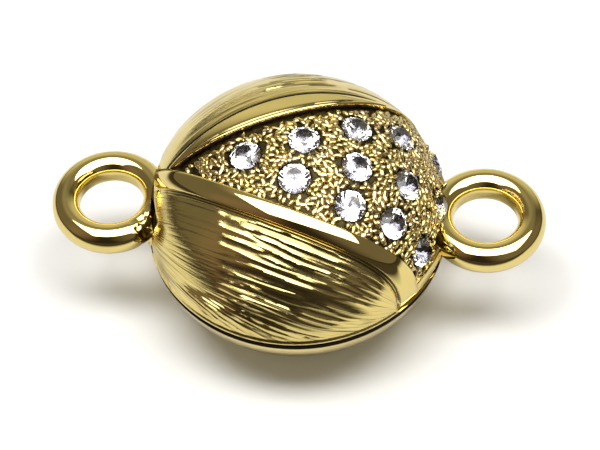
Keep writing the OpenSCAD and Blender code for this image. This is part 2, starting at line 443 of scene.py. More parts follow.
def plated_material(name, base, deep, roughness, relief, tone_scale=300.0):
    """Plated metal with the shared wear and painted shade, of a given polish: its shader, wear and shade
    node, share of painted shade and normal.
    """
    _, tree, shader = new_material(name, {"Metallic": 1.0})
    # Share of painted shade in recesses, stored on the mesh
    recess = add_node(tree, "ShaderNodeAttribute", attribute_name="recess").outputs["Fac"]
    values = {
        "Base": (*base, 1),
        "Deep": (*deep, 1),
        "Recess": recess,
        "Tone Scale": tone_scale,
        "Least Roughness": roughness[0],
        "Most Roughness": roughness[1],
    }
    wear_and_shade = add_node(tree, "ShaderNodeGroup", values, node_tree=plate_wear_and_shade_group())
    normal = bump(tree, wear_and_shade.outputs["Height"], relief, WEAR_BUMP)
    looks = {"Base Color": wear_and_shade.outputs["Color"], "Roughness": wear_and_shade.outputs["Roughness"], "Normal": normal}
    feed(shader, looks)
    return shader, wear_and_shade, recess, normal


def brushed_material(name, base, deep):
    """Plate with hairlines and thin lines of painted shade along the brushing, read from the piece's own UV
    map.
    """
    shader, wear_and_shade, recess, normal = plated_material(name, base, deep, (0.05, 0.11), 0.2)
    tree = shader.id_data
    along = add_node(tree, "ShaderNodeUVMap", uv_map="along").outputs["UV"]

    def drawn(scale, detail, roughness):
        """Noise drawn out along the strokes."""
        stretch = add_node(tree, "ShaderNodeMapping", {"Vector": along, "Scale": scale})
        return noise(tree, stretch.outputs["Vector"], 1.0, detail, roughness)["Fac"]

    hairlines = drawn(HAIRLINE_SCALE, 4.0, 0.65)
    # Thin lines of painted shade along the brushing, added to the share of recess
    shade_streaks = remap(tree, drawn(STREAK_SCALE, 2.0, 0.5), *STREAK_SPAN, stop=STREAK_SHADE)
    feed(shader, {"Normal": bump(tree, hairlines, 0.55, HAIRLINE_BUMP, normal)})
    feed(wear_and_shade, {"Recess": calculate(tree, "MAXIMUM", shade_streaks, recess)})


def finishes(context):
    """The clasp's materials by name, made once."""
    if "Polished gold" not in bpy.data.materials:
        look = context.scene.clasp_finish
        deep, joint, nickel = darker(look.gold, 0.9), darker(look.joint_gold_and_shade, 0.7), darker(look.nickel, 0.85)
        plated_material("Polished gold", look.gold, deep, (0.02, 0.06), 0.05)
        brushed_material("Brushed gold", look.gold, deep)
        plated_material("Field gold", look.field_gold, deep, (0.12, 0.3), 0.3, 900.0)
        # The faces at the seam and in the notch: dull as-cast gold darkened as painted shade
        plated_material("Joint gold", look.joint_gold_and_shade, joint, (0.3, 0.5), 0.4, 700.0)
        plated_material("Nickel plate", look.nickel, nickel, (0.15, 0.3), 0.1)
        new_material("Stone foil", {"Base Color": (*look.foil, 1), "Metallic": 1.0, "Roughness": 0.16})
        clear = {"Base Color": (*look.crystal, 1), "Roughness": 0.0, "IOR": 1.62, "Transmission Weight": 1.0}
        new_material("Crystal", clear)
    return {material.name: material for material in bpy.data.materials}


def darker(tone, share):
    """A colour at a share of its brightness."""
    return tuple(value * share for value in tone)


# Upper casting

STATIONS = 300
REGIONS = (
    ("brushed_front", 160),
    ("front_groove", 8),
    ("front_band", 14),
    ("field", 96),
    ("back_band", 20),
    ("back_groove", 10),
    ("brushed_back", 80),
)
TURN_STEPS, REACH_STEPS = 1200, 4000
CUTS, LAYERS = 120, 3
GROOVE_WIDTH, LINE_WIDTH = mm(0.17, 0.26)
BEAD_PLACE, BEAD_WIDTH, BEAD_DEPTH = mm(0.19, 0.06, 0.05)
STROKE_ENTRY, STROKE_EXIT = mm(0.3, 0.5)
SCRATCH_LAY, SCRATCH_COURSE = mm(8.0, 6.0)
SEAT_WALL, SEAT_DROP = mm(0.035, 0.045)
SEAT_SLOPE = 0.86
LEAST_BAND = 1e-5
FAN_SPAN, SLANT_SPAN, ROW_CROWDING, BACK_STRETCH = (0.35, 0.9), (0.4, 0.95), 1.4, 0.5
WAVES, WAVE_SPREAD, WAVE_GAIN = 6, (0.7, 1.6), 1.6
CUT_DRIFT, DRIFT_PITCH, LAY_START, LAYER_PITCH = mm(0.1, 4.0, 1.0, 3.2)
LAYER_CONTRAST, LAYER_STRETCH, SCRATCH_SLANT = 3.0, 2.5, 0.03
CROWN_WIDTH = 0.6 * MM
# Shares of painted shade: on the seat walls, in the notch, at the seam edge, on the rounding and on the
# underside
SEAT_WALL_SHADE, NOTCH_SHADE, SEAM_EDGE_SHADE, ROUNDING_SHADE, UNDERSIDE_SHADE = 1.0, 0.7, 0.8, 1.0, 0.3
EDGE_TURNS = np.radians([30, 60, 90])
SLOT_FINISHES = ("Polished gold", "Brushed gold", "Field gold", "Stone foil", "Joint gold")
POLISHED, BRUSHED, FIELD, FOIL, JOINT_AND_SHADE = range(len(SLOT_FINISHES))
REGION_SLOT = {"brushed_front": BRUSHED, "brushed_back": BRUSHED, "field": FIELD}

# Fades in millimetres, from nothing to all: over the rise from the seam, the lay, the way along X and widths
STROKES_START, STROKES_FULL, SHADE_FULL, BRUSHED_STEP = (0.1, 0.45), (0.4, 1.7), (0.4, 2.0), (0.06, 0.16)
STEEP_LAY, LOW_LAY, RIGHT_CALM = (3.4, 4.6), (3.4, 5.0), (3.0, 4.4)
GROOVE_START, GROOVE_END, BEAD_START, BEAD_END = (-5.6, -4.6), (2.3, 3.3), (-4.4, -3.6), (1.6, 2.6)
BACK_SHADE, FIELD_SINK, FIELD_SHADE = (0.014, 0.036), (0.05, 0.5), (0.15, 0.25)


def crossing(values, limit, turns, rising):
    """The first turn at which each station's values pass a limit, 0 where they have passed it already."""
    passed = values > limit if rising else values < limit
    first = np.argmax(passed, axis=1)
    first[~passed.any(axis=1)] = values.shape[1] - 1
    rows = np.arange(len(values))
    before = np.maximum(first - 1, 0)
    a, b = values[rows, before], values[rows, first]
    share = np.where(first > 0, (limit - a) / np.where(a == b, 1, b - a), 0)
    return turns[before] + np.clip(share, 0, 1) * (turns[first] - turns[before])


def lay_by_reach(form, edge, first):
    """Radii about an edge's centre, from the edge to the body's rim, and their way over the dome."""
    cx, cy, radius = arc_through(edge, form.sizes.body_radius)
    to_centre = math.hypot(cx, cy)
    reach = np.linspace(radius + first, to_centre + form.sizes.body_radius, REACH_STEPS)
    out = np.abs(reach - to_centre) / form.sizes.body_radius
    rise = form.sizes.dome_height * np.sqrt(np.maximum(0, 1 - out**2))
    return reach, np.concatenate([[0], np.cumsum(np.hypot(np.diff(reach), np.diff(rise)))])


def pattern_rows(form, stations):
    """Each row's turn about X at every station, its region, its share of it and its lay over the dome."""
    s = form.sizes
    turns = np.linspace(0, math.pi, TURN_STEPS)
    points = form.surface(form.middle, fan_directions(stations[:, None], turns[None, :]))
    x, y = points[..., 0], points[..., 1]
    away = {}
    for name, edge in (("front", FRONT_EDGE), ("back", BACK_EDGE), ("line", BAND_EDGE)):
        cx, cy, radius = arc_through(edge, s.body_radius)
        away[name] = (np.hypot(x - cx, y - cy), radius)
    counts = dict(REGIONS)

    def at(name, shift, rising):
        """The turn at which each station crosses a line of the pattern, moved outwards by a shift."""
        distance, radius = away[name]
        return crossing(distance, radius + shift, turns, rising)

    rim_height = s.seam_drop - s.seam_round + s.field_rim
    rim_height = rim_height / (s.body_radius * np.sin(np.maximum(stations, NEAR)))
    reached = (rim_height < 1) & (rim_height > 0)
    rim_turn = np.where(reached, np.arcsin(np.clip(rim_height, 0, 1)), math.pi / 2)
    front_edge = np.maximum(at("front", 0.0, False), np.minimum(rim_turn, math.pi / 2))
    back_edge = np.maximum(at("back", 0.0, False), front_edge)
    back_edge = np.maximum(np.minimum(back_edge, math.pi - rim_turn), front_edge)
    rows, regions, shares, lays = [], [], [], []

    def add(region, turn, share, lay=0.0):
        """Adds a row that nowhere lies before the last one."""
        rows.append(turn if not rows else np.maximum(turn, rows[-1]))
        regions.append(region)
        shares.append(share)
        lays.append(lay)

    def strokes(name, edge, first, fan, slant):
        """The way across the strokes: along the edge near it, and down into the seam at the rim."""
        reach, lay = lay_by_reach(form, edge, first)
        share = s.fan_share + (1 - s.fan_share) * smooth_step(fan, *FAN_SPAN)
        across = (1 - share) * np.interp(away[name][0], reach, lay) + share * fan * lay[-1]
        return across + slant * x * smooth_step(fan, *SLANT_SPAN)

    groove = at("front", s.front_band + GROOVE_WIDTH, False), at("front", s.front_band, False)
    fan = 1 - turns[None, :] / np.maximum(groove[0], NEAR)[:, None]
    across = strokes("front", FRONT_EDGE, s.front_band + GROOVE_WIDTH, fan, -s.rim_slant)
    for level in np.linspace(across.max(), 0, counts["brushed_front"] + 1):
        add("brushed_front", crossing(across, level, turns, False), 0.0, level)
    line = at("line", 0.0, True), at("line", LINE_WIDTH, True)
    spans = (
        ("front_groove", *groove),
        ("front_band", groove[1], front_edge),
        ("field", front_edge, back_edge),
        ("back_band", back_edge, line[0]),
        ("back_groove", *line),
    )
    for region, low, high in spans:
        for i in range(counts[region] + 1):
            share = i / counts[region]
            if region.endswith("band"):
                share = (1 - math.cos(math.pi * share)) / 2
            add(region, low + (np.maximum(high, low) - low) * share, share)
    fan = (turns[None, :] - line[1][:, None]) / np.maximum(math.pi - line[1], NEAR)[:, None]
    across = strokes("line", BAND_EDGE, LINE_WIDTH, fan, s.rim_slant)
    for level in across.max() * np.linspace(0, 1, counts["brushed_back"] + 1) ** ROW_CROWDING:
        add("brushed_back", crossing(across, level, turns, True), 0.0, level)
    add("brushed_back", np.full(len(stations), math.pi), 0.0, level)
    return np.array(rows), regions, np.array(shares), np.array(lays)


def fan_directions(station, turn):
    """Unit directions from the body's middle: station 0 is the left ring's side, turn 0 the front."""
    station, turn = np.broadcast_arrays(station, turn)
    return np.stack([-np.cos(station), -np.sin(station) * np.cos(turn), np.sin(station) * np.sin(turn)], -1)


def slow_waves(u, v, seed, pitch):
    """A smooth random value from -1 to 1 that changes over about one pitch."""
    random = np.random.default_rng(seed)
    total = np.zeros(np.broadcast_shapes(np.shape(u), np.shape(v)))
    for _ in range(WAVES):
        turn, phase = random.uniform(0, 2 * math.pi), random.uniform(0, 2 * math.pi)
        rate = 2 * math.pi / (pitch * random.uniform(*WAVE_SPREAD))
        total = total + np.sin(rate * (u * math.cos(turn) + v * math.sin(turn)) + phase)
    return total / WAVES * WAVE_GAIN


def gouges(lay, along, seed, widths, depths):
    """Depth of side-by-side graver cuts that run along: sharp ridges, and depths as shares of the width."""
    random = np.random.default_rng(seed)
    total, weights = 0.0, 0.0
    for k in range(LAYERS):
        drift = CUT_DRIFT * slow_waves(along, lay, seed + 10 + k, DRIFT_PITCH)
        place = lay + drift + LAY_START
        widths_here = random.uniform(*widths, CUTS)
        edges = np.cumsum(widths_here)
        deep = random.uniform(*depths, CUTS) * widths_here
        cut = np.clip(np.searchsorted(edges, place), 1, CUTS - 1)
        across = np.clip((place - edges[cut - 1]) / (edges[cut] - edges[cut - 1]), 0, 1)
        weight = np.exp(LAYER_CONTRAST * slow_waves(along, lay * LAYER_STRETCH, seed + 20 + k, LAYER_PITCH))
        total = total + weight * deep[cut] * 4 * across * (1 - across)
        weights = weights + weight
    return total / weights


def scratches(lay, along, count, seed, width, depth, span):
    """Depth of single sharp strokes of the graver over a brushed surface."""
    random = np.random.default_rng(seed)
    total = np.zeros_like(lay)
    for _ in range(count):
        middle, start = random.uniform(0.0, SCRATCH_LAY), random.uniform(-SCRATCH_COURSE, SCRATCH_COURSE)
        end = start + random.uniform(*span)
        wide, deep = random.uniform(*width), random.uniform(*depth)
        slant = random.normal(0, SCRATCH_SLANT)
        window = smooth_step(along, start, start + STROKE_ENTRY)
        window = window * (1 - smooth_step(along, end - STROKE_EXIT, end))
        across = (lay - middle - slant * (along - start)) / wide
        total = np.maximum(total, deep * window * np.exp(-(across**2)))
    return total


def band_crown(share, width, crown, peak, edges):
    """Depth of a polished band below its ridge: a crowned strip with rounded edges."""
    narrow = np.minimum(1, width / CROWN_WIDTH)
    depth = crown * narrow * ((share - peak) / max(peak, 1 - peak)) ** 2
    for from_edge, edge in zip((share * width, (1 - share) * width), edges):
        t = 1 - np.clip(from_edge / edge, 0, 1)
        depth = depth + edge * (1 - np.sqrt(np.maximum(0, 1 - t * t)))
    return depth


class ClaspUpperCasting(Operator):
    """Builds the dome casting with bands, brushing, sunk field, seats, notch, recess and right ring"""

    bl_idname = "clasp.upper_casting"
    bl_label = "Upper Casting"

    def execute(self, context):
        form = BodyForm(context.scene.clasp_sizes)
        looks = finishes(context)
        stations = np.linspace(0, math.pi, STATIONS)
        turns, regions, shares, lays = pattern_rows(form, stations)
        points = form.surface(form.middle, fan_directions(stations[None, :], turns))
        normals = form.outward(points)
        depths, along, recess = self.relief(form, points, turns, regions, shares, lays)
        points = points - normals * depths[..., None]
        points, seated, walled = self.seats(form, points)
        points, cut = self.notch(form, points)
        points[0, :, 2] = points[-1, :, 2] = form.middle[2]
        rows, columns = turns.shape
        faces = grid_faces(rows, columns)
        slots = []
        for i in range(rows - 1):
            slot = REGION_SLOT.get(regions[i], POLISHED) if regions[i] == regions[i + 1] else POLISHED
            inside = seated[i : i + 2, :-1].all(0) & seated[i : i + 2, 1:].all(0)
            notched = cut[i : i + 2, :-1].all(0) & cut[i : i + 2, 1:].all(0)
            slots += list(np.where(inside, FOIL, np.where(notched, JOINT_AND_SHADE, slot)))
        across = lays * np.where(np.array(regions) == "brushed_back", BACK_STRETCH, 1.0)
        uvs = np.stack([along, np.broadcast_to(across[:, None], turns.shape)], -1).reshape(-1, 2)
        flat = points.reshape(-1, 3)
        border = [*range(columns), *range((rows - 1) * columns + columns - 2, (rows - 1) * columns, -1)]
        flat, faces = self.underside(form, flat, faces, border)
        slots += [JOINT_AND_SHADE] * (len(faces) - len(slots))
        uvs = np.vstack([uvs, np.zeros((len(flat) - len(uvs), 2))])
        # Painted shade: full on the seat walls, part in the notch and none on the seats
        recess = np.select([walled, seated, cut], [SEAT_WALL_SHADE, 0.0, NOTCH_SHADE], recess)
        below = self.underside_shade(len(flat) - recess.size, len(border))
        materials = [looks[name] for name in SLOT_FINISHES]
        recess = np.concatenate([recess.ravel(), below])
        dome = mesh_object("upper_casting", flat, faces, materials, slots, uvs, recess=recess)
        ring = ring_object("right_ring_wire", form, 1, looks["Polished gold"])
        dome = join("upper_casting", [dome, ring])
        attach(dome, "upper")
        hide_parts("upper_half")
        return {"FINISHED"}

    def relief(self, form, points, turns, regions, shares, lays):
        """Depth below the body's outline, the way along the strokes and the share of painted shade, row by
        row.
        """
        s = form.sizes
        depths, along, recess = np.zeros_like(turns), np.zeros_like(turns), np.zeros_like(turns)
        names = np.array(regions)
        for region, _ in REGIONS:
            rows = names == region
            spots, share = points[rows], shares[rows][:, None]
            width = (turns[rows][-1] - turns[rows][0])[None, :] * s.body_radius
            if region.startswith("brushed"):
                lay = np.broadcast_to(lays[rows][:, None], turns[rows].shape)
                depths[rows], recess[rows], along[rows] = self.brushed(form, region, spots, lay)
            elif region.endswith("groove"):
                depths[rows], recess[rows] = self.groove(s, region, spots, share)
            elif region.endswith("band"):
                depths[rows], recess[rows] = self.band(s, region, spots, share, width)
            else:
                depths[rows], recess[rows] = self.field(s, spots, share, width)
        first = np.maximum((turns <= TINY).sum(0) - 1, 0)
        last = (turns < math.pi - TINY).sum(0)
        for values in (depths, recess):
            for j in range(turns.shape[1]):
                values[: first[j], j] = values[first[j], j]
                values[last[j] :, j] = values[min(last[j], len(turns) - 1), j]
        return depths, along, recess

    def brushed(self, form, region, points, lay):
        """Depth, painted shade in the cuts and way along the strokes of a brushed surface, which is calm
        near the seam.
        """
        s = form.sizes
        front = region == "brushed_front"
        x, y = points[..., 0], points[..., 1]
        rise = points[..., 2] - form.seam - s.seam_round
        cx, cy, radius = arc_through(FRONT_EDGE if front else BAND_EDGE, s.body_radius)
        course = radius * np.arctan2(x - cx, (-1 if front else 1) * (y - cy))
        cuts = self.front_cuts(lay, course, x) if front else self.back_cuts(lay, course)
        cuts = cuts * eased(rise, *STROKES_START) * (0.52 + 0.48 * eased(rise, *STROKES_FULL))
        # Painted shade in the deeper cuts, fading out towards the seam
        if front:
            steep = eased(lay, *STEEP_LAY)
            low, high = (0.03 + 0.02 * steep) * MM, (0.07 + 0.03 * steep) * MM
            recess = (0.55 + 0.25 * steep) * smooth_step(cuts, low, high)
            recess = recess * (0.1 + 0.9 * eased(rise, *SHADE_FULL))
        else:
            recess = 0.75 * eased(cuts, *BACK_SHADE)
        return cuts + s.brushed_depth * eased(rise, *BRUSHED_STEP), recess, course

    def groove(self, s, region, points, share):
        """Depth and painted shade in the channel of the step beside the front band, or of the line behind
        the back band.
        """
        front = region == "front_groove"
        channel = np.sin((2 if front else 1) * math.pi * share) ** 2
        fade = eased(points[..., 0], *GROOVE_START)
        if not front:
            fade = fade * (1 - eased(points[..., 0], *GROOVE_END))
        step = (s.front_crown - s.brushed_depth) * share if front else 0.0
        depth = s.brushed_depth + step + (0.03 if front else 0.06) * MM * channel * fade
        return depth, smooth_step(channel, 0.0, 0.4) * fade * (0.9 if front else 1.0)

    def band(self, s, region, points, share, width):
        """Depth and painted shade of a polished band: the front one is crowned and unshaded, the back one
        flat with a bead whose line carries painted shade.
        """
        width = np.maximum(width, LEAST_BAND)
        if region == "front_band":
            return band_crown(share, width, s.front_crown, peak=0.58, edges=mm(0.01, 0.05)), 0.0
        depth = band_crown(share, width, 0.02 * MM, peak=0.5, edges=mm(0.08, 0.05))
        ends = eased(points[..., 0], *BEAD_START) * (1 - eased(points[..., 0], *BEAD_END))
        line = ends * np.exp(-(((share * width - BEAD_PLACE) / BEAD_WIDTH) ** 2))
        return depth + BEAD_DEPTH * line, line

    def field(self, s, points, share, width):
        """Depth and painted shade of the sunk field, whose floor is a little lumpy and shaded almost black
        among the nuggets.
        """
        lumps = 0.03 * MM * slow_waves(points[..., 0], points[..., 1], seed=61, pitch=0.32 * MM)
        depth = (s.field_depth + lumps) * eased(width, *FIELD_SINK)
        return depth, 1 - 0.05 * eased((1 - share) * width, *FIELD_SHADE)

    def front_cuts(self, lay, course, x):
        """Depth of the front's strokes: strong in the middle, faint at both ends."""
        cuts = gouges(lay, course, seed=5, widths=mm(0.22, 0.44), depths=(0.13, 0.25))
        low = eased(lay, *LOW_LAY)
        left = eased(x, -2.9 - 2.4 * low, -2.3 - 1.2 * low)
        right = 1 - 0.65 * eased(x, *RIGHT_CALM)
        fine = gouges(lay * 1.6, course, seed=31, widths=mm(0.12, 0.3), depths=(0.02, 0.06))
        size = {"width": mm(0.03, 0.05), "depth": mm(0.025, 0.05), "span": mm(0.8, 3.0)}
        sharp = scratches(lay, course, count=90, seed=3, **size)
        return (cuts * (1 + 0.5 * low) + sharp) * left * right + fine * (1 - 0.7 * left)

    def back_cuts(self, lay, course):
        """Depth of the back's fainter strokes."""
        fine = gouges(lay, course, seed=47, widths=mm(0.2, 0.5), depths=(0.02, 0.07))
        size = {"width": mm(0.04, 0.07), "depth": mm(0.04, 0.07), "span": mm(0.6, 3.0)}
        return fine + scratches(lay, course, count=120, seed=13, **size)

    def seats(self, form, points):
        """Sinks a seat under each stone and says which points lie in one and which on its wall."""
        s = form.sizes
        seated, walled = np.zeros(points.shape[:2], bool), np.zeros(points.shape[:2], bool)
        for centre, axis, radius in stone_places():
            rim = radius + s.seat_gap
            away = points - centre
            height = away @ axis
            flat = away - height[..., None] * axis
            out = np.linalg.norm(flat, axis=-1)
            near = (np.abs(height) < 2 * rim) & (out < rim + SEAT_WALL)
            on_rim = near & (out > rim - SEAT_WALL)
            inner = near & ~on_rim
            way = flat / np.maximum(out, TINY)[..., None]
            points = np.where(on_rim[..., None], centre + way * rim + axis * height[..., None], points)
            cone = -SEAT_DROP - (rim - out) * SEAT_SLOPE
            points = np.where(inner[..., None], centre + flat + axis * cone[..., None], points)
            seated |= inner
            walled |= on_rim
        return points, seated, walled & ~seated

    def notch(self, form, points):
        """Cuts the side away behind the left ring and its foot, and says which points lie on the cut."""
        s = form.sizes
        chord = math.sqrt((s.ring_radius + s.wire_width / 2) ** 2 - (form.ring_reach - s.body_radius) ** 2)
        half = chord + s.notch_gap
        inner = form.foot_inner - s.notch_depth
        out = from_axis(points)
        inside = (points[..., 0] < 0) & (np.abs(points[..., 1]) < half) & (out > inner)
        points[..., :2] *= np.where(inside, inner / np.maximum(out, TINY), 1.0)[..., None]
        return points, inside

    def underside_shade(self, count, around):
        """Share of painted shade on the points that the underside adds: dark at the seam and its rounding,
        less further in.
        """
        recess = np.full(count, UNDERSIDE_SHADE)
        recess[:around] = SEAM_EDGE_SHADE
        recess[around : 3 * around] = ROUNDING_SHADE
        return recess

    def underside(self, form, points, faces, border):
        """Closes the casting below: rounded edge, face, recess for the collar and well for the magnet."""
        s = form.sizes
        edge = points[border]
        radii, angles = from_axis(edge), np.arctan2(edge[:, 1], edge[:, 0])
        in_by, up_by = s.seam_round * (1 - np.cos(EDGE_TURNS)), s.seam_round * (1 - np.sin(EDGE_TURNS))
        loops = [(radii - a, form.seam + b) for a, b in zip(in_by, up_by)]
        recess, well = s.collar_radius + s.collar_gap, s.magnet_radius + s.glue_gap
        top = form.roof + s.magnet_sink + s.magnet_height + s.glue_gap
        for radius, z in ((recess, form.seam), (recess, form.roof), (well, form.roof), (well, top)):
            loops.append((np.full(len(border), radius), z))
        rings, stack, count = [border], [points], len(points)
        for radius, z in loops:
            level = np.full(len(border), z)
            stack.append(np.stack([radius * np.cos(angles), radius * np.sin(angles), level], -1))
            rings.append(list(range(count, count + len(border))))
            count += len(border)
        stack.append(np.array([[0.0, 0.0, top]]))
        after = [*range(1, len(border)), 0]
        for outer, inner in zip(rings, rings[1:]):
            faces += [(outer[i], inner[i], inner[j], outer[j]) for i, j in enumerate(after)]
        faces += [(rings[-1][i], count, rings[-1][j]) for i, j in enumerate(after)]
        return np.vstack(stack), faces


# Rings and lower casting

RING_TURNS, SECTION_STEPS = 120, 48
DISH_STEPS, DISH_CROWDING, LATHE_STEPS = 56, 1.6, 192
SEAM_SHADE_START, SEAM_SHADE_FULL = mm(0.09, 0.02)
FOOT_GRID, SOLDER_DIP, SOLDER_SEED = (41, 31), 0.14, 3
SOLDER_FRONT, SOLDER_INNER, SOLDER_SECTION = (0.2, 0.5), (0.5, 0.75), (-0.4, 0.2)
SOLDER_LUMPS, SOLDER_LOSS, SOLDER_SPAN = 0.16, 0.11, 0.25
FOOT_ROOT, FOOT_WALL, RIM_LAND, COLLAR_CHAMFER = mm(0.3, 0.02, 0.3, 0.08)
FOOT_SQUARENESS, FOOT_SOFTNESS = 8, 0.25


def ring_object(name, form, side, material):
    """A ring of oval wire with a straight land round its hole, cut to fit its half of the clasp."""
    s = form.sizes
    turns, steps = RING_TURNS, SECTION_STEPS
    around = np.linspace(0, 2 * math.pi, turns, endpoint=False)
    section = np.linspace(0, 2 * math.pi, steps, endpoint=False)
    bend = 2 / s.wire_fullness
    out, up = (np.sign(wave) * np.abs(wave) ** bend for wave in (np.cos(section), np.sin(section)))
    out, up = (s.wire_width / 2 * out)[None, :], (s.wire_height / 2 * up)[None, :]
    if side < 0:
        soldered = smooth_step(-np.sin(around), *SOLDER_FRONT) * smooth_step(np.cos(around), *SOLDER_INNER)
        soldered = soldered[:, None] * smooth_step(np.cos(section), *SOLDER_SECTION)[None, :]
        course, lay = s.ring_radius * around[:, None], s.wire_width / 2 * section[None, :]
        lumps = slow_waves(course, lay, seed=71, pitch=0.24 * MM)
        keep = 1 + soldered * (SOLDER_LUMPS * lumps - SOLDER_LOSS)
        out, up = out * keep, up * keep
    out = np.maximum(s.ring_radius + out, HOLE_RADIUS)
    x = side * form.ring_reach + out * np.cos(around)[:, None]
    y = out * np.sin(around)[:, None]
    z = np.broadcast_to(form.waist + up, x.shape).copy()
    if side > 0:
        z = np.maximum(z, form.seam)
    else:
        away = np.hypot(x, y)
        buried = (away < form.foot_inner) & (z > form.lower_face)
        scale = np.where(buried, form.foot_inner / np.maximum(away, TINY), 1)
        x, y = x * scale, y * scale
    points = np.stack([x, y, z], -1).reshape(-1, 3)
    faces = [
        (here + j, there + j, there + (j + 1) % steps, here + (j + 1) % steps)
        for here, there in ((i * steps, (i + 1) % turns * steps) for i in range(turns))
        for j in range(steps)
    ]
    return mesh_object(name, points, faces, [material], sharp=60.0)


def lathe(name, profile, material, recess):
    """A closed form turned about Z from a profile that starts and ends on the axis."""
    radii, heights = np.array(profile).T[..., None]
    angles = np.linspace(0, 2 * math.pi, LATHE_STEPS, endpoint=False)
    levels = np.broadcast_to(heights, (len(profile), LATHE_STEPS))
    points = np.stack([radii * np.cos(angles), radii * np.sin(angles), levels], -1).reshape(-1, 3)
    faces = grid_faces(len(profile), LATHE_STEPS, wrap=True)
    return mesh_object(name, points, faces, [material], recess=np.repeat(recess, LATHE_STEPS))


class ClaspLowerCasting(Operator):
    """Builds the plain dish with its collar, magnet well, foot and left ring"""

    bl_idname = "clasp.lower_casting"
    bl_label = "Lower Casting"

    def execute(self, context):
        s = context.scene.clasp_sizes
        form = BodyForm(s)
        looks = finishes(context)
        gold = looks["Polished gold"]
        edge = form.lower_face - s.seam_round
        profile = [(0.0, 0.0), (s.base_radius, 0.0)]
        start = math.asin(min(1.0, (form.waist / s.dish_height) ** (s.dish_fullness / 2)))
        stop = math.asin(((form.waist - edge) / s.dish_height) ** (s.dish_fullness / 2))
        for t in stop - (stop - start) * np.linspace(1, 0, DISH_STEPS) ** DISH_CROWDING:
            out = s.body_radius * math.cos(t) ** (2 / s.dish_fullness)
            profile.append((out, form.waist - s.dish_height * math.sin(t) ** (2 / s.dish_fullness)))
        rim = profile[-1][0]
        for t in EDGE_TURNS:
            profile.append((rim - s.seam_round * (1 - math.cos(t)), edge + s.seam_round * math.sin(t)))
        well = s.magnet_radius + s.glue_gap
        floor = form.collar_top - s.magnet_sink - s.magnet_height - s.glue_gap
        # Radius, height and share of painted shade of what lies inside, from the rim to the axis
        inside = (
            (rim - RIM_LAND, form.lower_face, 0.25),
            (s.collar_radius, form.lower_face, 0.4),
            (s.collar_radius, form.collar_top - COLLAR_CHAMFER, 0.1),
            (s.collar_radius - COLLAR_CHAMFER, form.collar_top, 0.05),
            (well, form.collar_top, 0.1),
            (well, floor, 0.4),
            (0.0, floor, 0.4),
        )
        # Painted shade along the dish's edge at the seam
        recess = [smooth_step(z, edge - SEAM_SHADE_START, edge - SEAM_SHADE_FULL) for _, z in profile]
        recess += [share for _, _, share in inside]
        profile += [(radius, z) for radius, z, _ in inside]
        dish = lathe("lower_casting", profile, gold, recess)
        # Faces in the magnet well and at the seam get the dull gold with painted shade
        dish.data.materials.append(looks["Joint gold"])
        for face in dish.data.polygons:
            in_well = face.center.to_2d().length < well and face.center.z > floor - NEAR
            if in_well or face.center.z > form.lower_face - NEAR:
                face.material_index = 1
        ring = ring_object("left_ring_wire", form, -1, gold)
        foot = self.foot(form, gold)
        dish = join("lower_casting", [dish, ring, foot])
        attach(dish, "lower")
        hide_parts("lower_half")
        return {"FINISHED"}

    def foot(self, form, material):
        """The pad that follows the body's side, with softened edges and rough solder."""
        s = form.sizes
        half = s.foot_width / 2
        ys = np.linspace(-half, half, FOOT_GRID[0])
        zs = np.linspace(form.waist - s.foot_drop, form.waist + s.foot_top, FOOT_GRID[1])
        middle, reach = (zs[0] + zs[-1]) / 2, (zs[-1] - zs[0]) / 2
        random = np.random.default_rng(SOLDER_SEED)
        outer, inner = [], []
        for z in zs:
            for y in ys:
                side, level = abs(y) / half, abs(z - middle) / reach
                soft = (1 - side**FOOT_SQUARENESS) * (1 - level**FOOT_SQUARENESS)
                soft = max(0.0, soft) ** FOOT_SOFTNESS
                full = form.radius_at(z, s.foot_proud)
                out = full - s.foot_proud * (1 - soft)
                if y < -SOLDER_SPAN * half:
                    out += random.uniform(-SOLDER_DIP, 0.0) * MM * soft
                out = min(out, full)
                back = form.foot_inner if z > form.lower_face else form.foot_inner - FOOT_ROOT
                outer.append((-math.sqrt(max(out**2 - y**2, 0)), y, z))
                inner.append((-math.sqrt(max(min(back, out - FOOT_WALL) ** 2 - y**2, 0)), y, z))
        n, m = len(zs), len(ys)
        faces = grid_faces(n, m, flip=True) + grid_faces(n, m, start=n * m)
        loop = [*range(m), *range(2 * m - 1, n * m, m), *range(n * m - 2, (n - 1) * m - 1, -1)]
        loop += [*range((n - 2) * m, 0, -m)]
        for i, a in enumerate(loop):
            b = loop[(i + 1) % len(loop)]
            faces.append((a, b, b + n * m, a + n * m))
        return mesh_object("left_foot", outer + inner, faces, [material], sharp=50.0)


# Field of nuggets and claws

FLOOR_SPAN, FLOOR_STATIONS = (0.34, 2.96), 150
FRONT_MARGIN, BACK_MARGIN, LEAST_FIELD, RING_MARGIN, STONE_MARGIN = mm(0.06, 0.36, 0.25, 0.2, 0.09)
NUGGET_SEED, LUMP_SCALE = 11, 7000.0
NUGGET_LUMPS, CLAW_LUMPS = mm(0.12, 0.05)
GRAIN_SHADE, MOST_PER_AREA, CLAW_TURN, CLAW_SINK = (0.6, 0.2), 1.0e8, 45, 0.3
LEAST_NUGGET, MOST_NUGGET = (1.0, 0.58, 0.5), (1.9, 0.85, 0.8)


